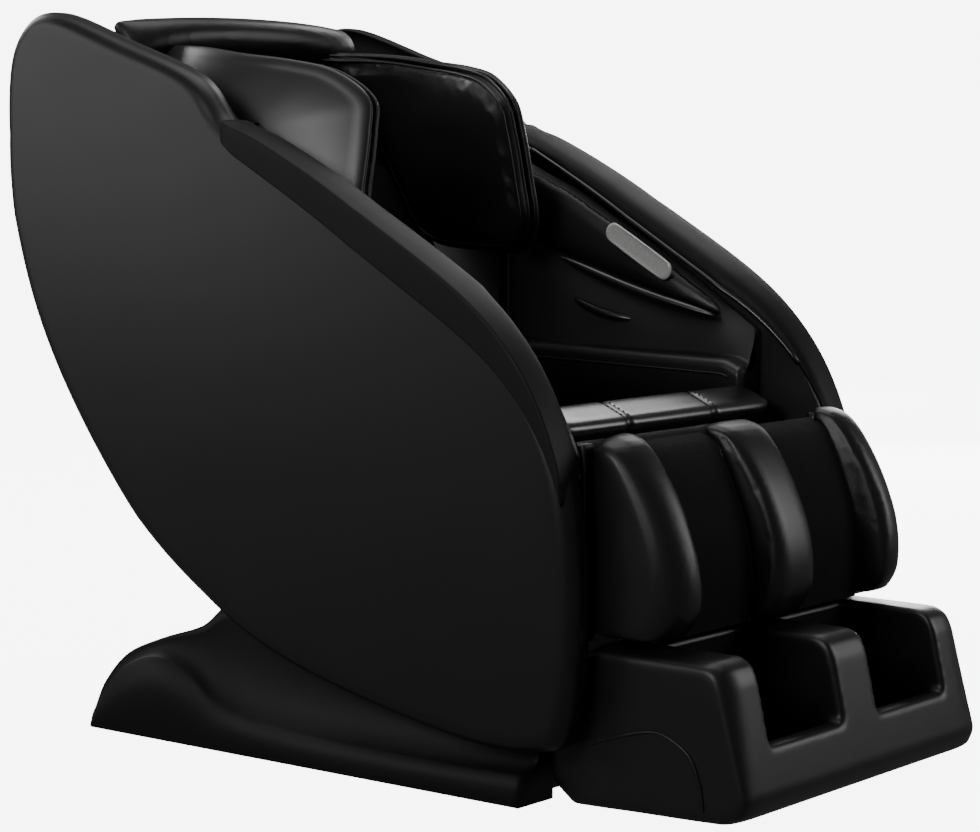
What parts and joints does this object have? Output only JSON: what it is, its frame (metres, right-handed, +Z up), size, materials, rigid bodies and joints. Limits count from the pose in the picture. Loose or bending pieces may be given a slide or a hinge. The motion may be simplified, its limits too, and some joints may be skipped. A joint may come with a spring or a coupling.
{
  "type": "massage chair",
  "caption": "Shell-style massage chair on a floor base: body tilts, back reclines, leg rest lifts and extends, rollers climb the back.",
  "frame": {"origin": "on the floor under the middle of the overall box", "axes": "+Z up, -Y towards the front, +X to the sitter's left"},
  "size_m": [0.7742, 1.3997, 1.1514],
  "materials": {
    "steel": "semi-matte dark grey paint",
    "bright_steel": "ground",
    "shell": "satin black",
    "gloss": "smooth dark satin",
    "leather": "black synthetic leather",
    "fabric": "dull black lining cloth",
    "rubber": "dull black",
    "plastic": "moulded, fine grain",
    "plate": "plain bright plate with nothing on it"
  },
  "bodies": {
    "base": {"base_frame": "steel", "base_skirt_left": "shell", "base_skirt_right": "shell", "skid_pad_left": "rubber", "skid_pad_right": "rubber", "power_inlet": "plastic", "tilt_shaft": "bright_steel"},
    "wheel_left": {"transport_wheel_left": "rubber"},
    "wheel_right": {"transport_wheel_right": "rubber"},
    "switch": {"power_switch": "plastic"},
    "actuator": {"actuator_tube": "steel"},
    "rod": {"actuator_rod": "bright_steel"},
    "body": {"body_frame": "steel", "side_panel_left": "shell", "side_panel_right": "shell", "arm_rail_left": "gloss", "arm_rail_right": "gloss", "arm_liner_left": "leather", "arm_liner_right": "leather", "arm_pad_left": "leather", "arm_pad_right": "leather", "seat_cushion": "leather", "control_box": "plastic", "air_pump": "plastic", "leg_motor": "plastic", "back_motor": "plastic", "back_shaft": "bright_steel", "leg_shaft": "bright_steel"},
    "back": {"back_frame": "steel", "back_shell": "shell", "back_cushion": "leather", "head_pillow": "leather", "head_roll": "leather", "wing_shell_left": "gloss", "wing_shell_right": "gloss", "wing_pad_left": "leather", "wing_pad_right": "leather"},
    "carriage": {"carriage_frame": "steel", "kneading_motor": "plastic", "kneading_shaft": "bright_steel"},
    "massage_arm_left": {"massage_arm_left": "steel"},
    "massage_arm_right": {"massage_arm_right": "steel"},
    "leg": {"calf_shell": "shell", "calf_ridge": "leather", "calf_lobe_left": "leather", "calf_lobe_right": "leather", "calf_liner_left": "fabric", "calf_liner_right": "fabric", "calf_cheek_left": "leather", "calf_cheek_right": "leather"},
    "foot": {"foot_shell": "leather", "foot_lining_left": "fabric", "foot_lining_right": "fabric", "slide_rod_left": "bright_steel", "slide_rod_right": "bright_steel"},
    "roller_left_upper": {"roller_left_upper": "rubber"},
    "roller_left_lower": {"roller_left_lower": "rubber"},
    "roller_right_upper": {"roller_right_upper": "rubber"},
    "roller_right_lower": {"roller_right_lower": "rubber"}
  },
  "joints": [
    {"name": "body_tilt", "type": "hinge", "parent": "base", "child": "body", "pos_m": [0, -0.3, 0.118], "axis": [-1, 0, 0], "range_deg": [0, 5.5]},
    {"name": "back_recline", "type": "hinge", "parent": "body", "child": "back", "pos_m": [0, 0.135, 0.45], "axis": [-1, 0, 0], "range_deg": [0, 30]},
    {"name": "leg_lift", "type": "hinge", "parent": "body", "child": "leg", "pos_m": [0, -0.425, 0.465], "axis": [-1, 0, 0], "range_deg": [0, 75]},
    {"name": "foot_extend", "type": "slide", "parent": "leg", "child": "foot", "axis": [0, -0.2079, -0.9781], "range_m": [0, 0.08]},
    {"name": "carriage_climb", "type": "slide", "parent": "back", "child": "carriage", "axis": [0, 0.5, 0.866], "range_m": [0, 0.38]},
    {"name": "actuator_swing", "type": "hinge", "parent": "base", "child": "actuator", "pos_m": [0, 0.298, 0.0746], "axis": [1, 0, 0], "range_deg": [0, 3.5]},
    {"name": "actuator_stroke", "type": "slide", "parent": "actuator", "child": "rod", "axis": [0, -0.6437, 0.7653], "range_m": [-0.0396, 0]},
    {"name": "switch_rock", "type": "hinge", "parent": "base", "child": "switch", "pos_m": [-0.12, 0.31, 0.0702], "axis": [1, 0, 0], "range_deg": [-5, 5]},
    {"name": "wheel_left_spin", "type": "hinge", "parent": "base", "child": "wheel_left", "pos_m": [0, 0.462, 0.034], "axis": [1, 0, 0], "continuous": true},
    {"name": "massage_arm_left_swing", "type": "hinge", "parent": "carriage", "child": "massage_arm_left", "pos_m": [0, 0.28409, 0.56022], "axis": [1, 0, 0], "range_deg": [-5.5, 5.5]},
    {"name": "roller_left_upper_spin", "type": "hinge", "parent": "massage_arm_left", "child": "roller_left_upper", "pos_m": [0, 0.29223, 0.60633], "axis": [1, 0, 0], "continuous": true},
    {"name": "roller_left_lower_spin", "type": "hinge", "parent": "massage_arm_left", "child": "roller_left_lower", "pos_m": [0, 0.24823, 0.53012], "axis": [1, 0, 0], "continuous": true},
    {"name": "wheel_right_spin", "type": "hinge", "parent": "base", "child": "wheel_right", "pos_m": [0, 0.462, 0.034], "axis": [1, 0, 0], "continuous": true},
    {"name": "massage_arm_right_swing", "type": "hinge", "parent": "carriage", "child": "massage_arm_right", "pos_m": [0, 0.28409, 0.56022], "axis": [1, 0, 0], "range_deg": [-5.5, 5.5]},
    {"name": "roller_right_upper_spin", "type": "hinge", "parent": "massage_arm_right", "child": "roller_right_upper", "pos_m": [0, 0.29223, 0.60633], "axis": [1, 0, 0], "continuous": true},
    {"name": "roller_right_lower_spin", "type": "hinge", "parent": "massage_arm_right", "child": "roller_right_lower", "pos_m": [0, 0.24823, 0.53012], "axis": [1, 0, 0], "continuous": true}
  ],
  "couplings": [
    {"joint": "foot_extend", "follows": "leg_lift", "m_per_rad": 0.0611},
    {"joint": "actuator_swing", "follows": "body_tilt", "ratio": 0.626},
    {"joint": "actuator_stroke", "follows": "body_tilt", "m_per_rad": -0.4098},
    {"joint": "massage_arm_right_swing", "follows": "massage_arm_left_swing", "ratio": -1}
  ]
}
